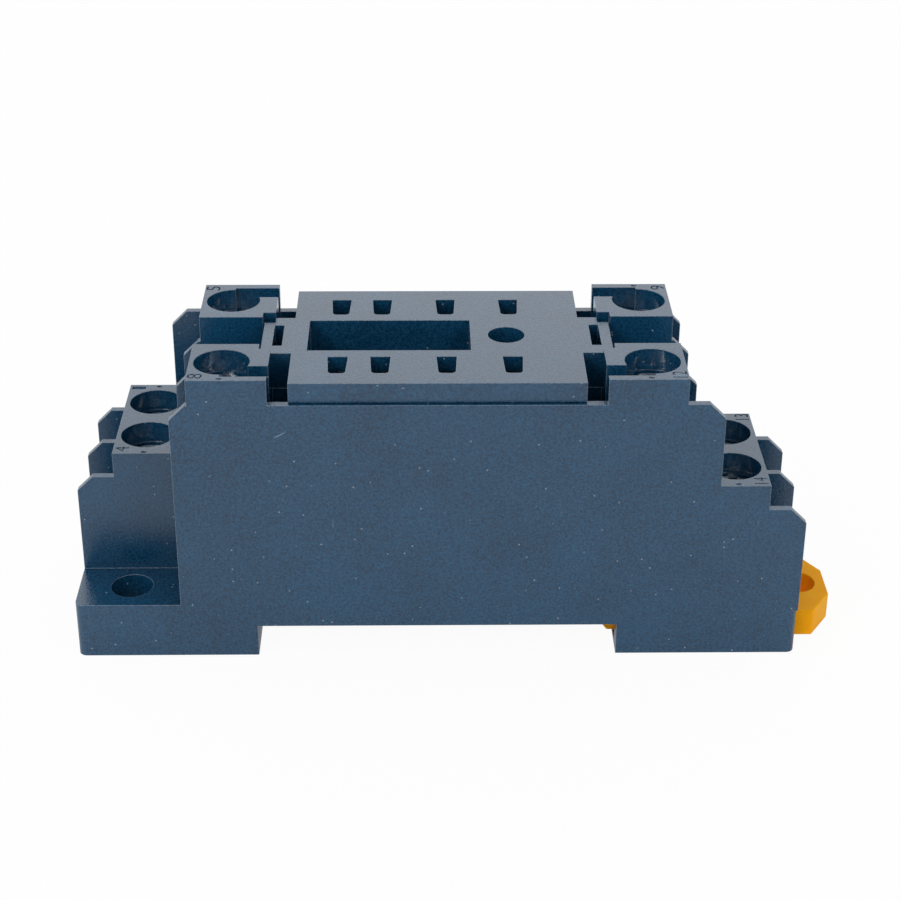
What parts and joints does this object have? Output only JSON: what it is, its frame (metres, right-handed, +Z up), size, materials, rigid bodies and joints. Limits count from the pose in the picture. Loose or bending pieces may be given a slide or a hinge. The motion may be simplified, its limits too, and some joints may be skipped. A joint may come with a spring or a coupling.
{
  "type": "relay socket",
  "caption": "Stepped two-pole relay socket for a 35 mm rail, with screw terminals on two levels at each end, a slotted relay seat and a sprung rail latch.",
  "frame": {"origin": "midpoint between the two mounting holes, on the mounting face", "axes": "+X along the socket towards the latch tab, +Y from the printed front flank to the rear flank, +Z up from the mounting face to the relay seat"},
  "size_m": [0.0757, 0.022, 0.0306],
  "materials": {
    "housing_plastic": "satin moulded thermoplastic",
    "seat_plastic": "satin moulded thermoplastic",
    "latch_plastic": "orange-yellow moulded acetal",
    "screw_steel": "bright zinc-plated steel",
    "clamp_steel": "zinc-plated steel",
    "strip_metal": "tinned brass strip",
    "contact_metal": "sprung bronze sheet"
  },
  "bodies": {
    "socket": {"housing": "housing_plastic", "seat_plate": "seat_plastic", "terminal_strip_1": "strip_metal", "terminal_strip_2": "strip_metal", "terminal_strip_3": "strip_metal", "terminal_strip_4": "strip_metal", "terminal_strip_5": "strip_metal", "terminal_strip_6": "strip_metal", "terminal_strip_7": "strip_metal", "terminal_strip_8": "strip_metal", "blade_contact_1": "contact_metal", "blade_contact_2": "contact_metal", "blade_contact_3": "contact_metal", "blade_contact_4": "contact_metal", "blade_contact_5": "contact_metal", "blade_contact_6": "contact_metal", "blade_contact_7": "contact_metal", "blade_contact_8": "contact_metal"},
    "latch": {"rail_latch": "latch_plastic"},
    "clamp_1": {"clamp_plate_1": "clamp_steel"},
    "screw_1": {"terminal_screw_1": "screw_steel"},
    "clamp_2": {"clamp_plate_2": "clamp_steel"},
    "screw_2": {"terminal_screw_2": "screw_steel"},
    "clamp_3": {"clamp_plate_3": "clamp_steel"},
    "screw_3": {"terminal_screw_3": "screw_steel"},
    "clamp_4": {"clamp_plate_4": "clamp_steel"},
    "screw_4": {"terminal_screw_4": "screw_steel"},
    "clamp_5": {"clamp_plate_5": "clamp_steel"},
    "screw_5": {"terminal_screw_5": "screw_steel"},
    "clamp_6": {"clamp_plate_6": "clamp_steel"},
    "screw_6": {"terminal_screw_6": "screw_steel"},
    "clamp_7": {"clamp_plate_7": "clamp_steel"},
    "screw_7": {"terminal_screw_7": "screw_steel"},
    "clamp_8": {"clamp_plate_8": "clamp_steel"},
    "screw_8": {"terminal_screw_8": "screw_steel"}
  },
  "joints": [
    {"name": "latch_slide", "type": "slide", "parent": "socket", "child": "latch", "axis": [1, 0, 0], "range_m": [0, 0.0025], "stiffness_N_per_m": 4000, "springref_m": -0.001},
    {"name": "clamp_slide_1", "type": "slide", "parent": "socket", "child": "clamp_1", "axis": [0, 0, -1], "range_m": [0, 0.0026]},
    {"name": "screw_turn_1", "type": "hinge", "parent": "clamp_1", "child": "screw_1", "pos_m": [-0.02045, -0.00705, 0.0262], "axis": [0, 0, -1], "range_deg": [0, 1873]},
    {"name": "clamp_slide_2", "type": "slide", "parent": "socket", "child": "clamp_2", "axis": [0, 0, -1], "range_m": [0, 0.0026]},
    {"name": "screw_turn_2", "type": "hinge", "parent": "clamp_2", "child": "screw_2", "pos_m": [-0.02045, 0.00705, 0.0262], "axis": [0, 0, -1], "range_deg": [0, 1873]},
    {"name": "clamp_slide_3", "type": "slide", "parent": "socket", "child": "clamp_3", "axis": [0, 0, -1], "range_m": [0, 0.0026]},
    {"name": "screw_turn_3", "type": "hinge", "parent": "clamp_3", "child": "screw_3", "pos_m": [-0.02895, 0.00705, 0.01475], "axis": [0, 0, -1], "range_deg": [0, 1873]},
    {"name": "clamp_slide_4", "type": "slide", "parent": "socket", "child": "clamp_4", "axis": [0, 0, -1], "range_m": [0, 0.0026]},
    {"name": "screw_turn_4", "type": "hinge", "parent": "clamp_4", "child": "screw_4", "pos_m": [-0.02895, -0.0001, 0.01475], "axis": [0, 0, -1], "range_deg": [0, 1873]},
    {"name": "clamp_slide_5", "type": "slide", "parent": "socket", "child": "clamp_5", "axis": [0, 0, -1], "range_m": [0, 0.0026]},
    {"name": "screw_turn_5", "type": "hinge", "parent": "clamp_5", "child": "screw_5", "pos_m": [0.02045, -0.00705, 0.0262], "axis": [0, 0, -1], "range_deg": [0, 1873]},
    {"name": "clamp_slide_6", "type": "slide", "parent": "socket", "child": "clamp_6", "axis": [0, 0, -1], "range_m": [0, 0.0026]},
    {"name": "screw_turn_6", "type": "hinge", "parent": "clamp_6", "child": "screw_6", "pos_m": [0.02045, 0.00705, 0.0262], "axis": [0, 0, -1], "range_deg": [0, 1873]},
    {"name": "clamp_slide_7", "type": "slide", "parent": "socket", "child": "clamp_7", "axis": [0, 0, -1], "range_m": [0, 0.0026]},
    {"name": "screw_turn_7", "type": "hinge", "parent": "clamp_7", "child": "screw_7", "pos_m": [0.02895, -0.00705, 0.01475], "axis": [0, 0, -1], "range_deg": [0, 1873]},
    {"name": "clamp_slide_8", "type": "slide", "parent": "socket", "child": "clamp_8", "axis": [0, 0, -1], "range_m": [0, 0.0026]},
    {"name": "screw_turn_8", "type": "hinge", "parent": "clamp_8", "child": "screw_8", "pos_m": [0.02895, 0.0001, 0.01475], "axis": [0, 0, -1], "range_deg": [0, 1873]}
  ],
  "couplings": [
    {"joint": "screw_turn_1", "follows": "clamp_slide_1", "rad_per_m": 12566},
    {"joint": "screw_turn_2", "follows": "clamp_slide_2", "rad_per_m": 12566},
    {"joint": "screw_turn_3", "follows": "clamp_slide_3", "rad_per_m": 12566},
    {"joint": "screw_turn_4", "follows": "clamp_slide_4", "rad_per_m": 12566},
    {"joint": "screw_turn_5", "follows": "clamp_slide_5", "rad_per_m": 12566},
    {"joint": "screw_turn_6", "follows": "clamp_slide_6", "rad_per_m": 12566},
    {"joint": "screw_turn_7", "follows": "clamp_slide_7", "rad_per_m": 12566},
    {"joint": "screw_turn_8", "follows": "clamp_slide_8", "rad_per_m": 12566}
  ]
}
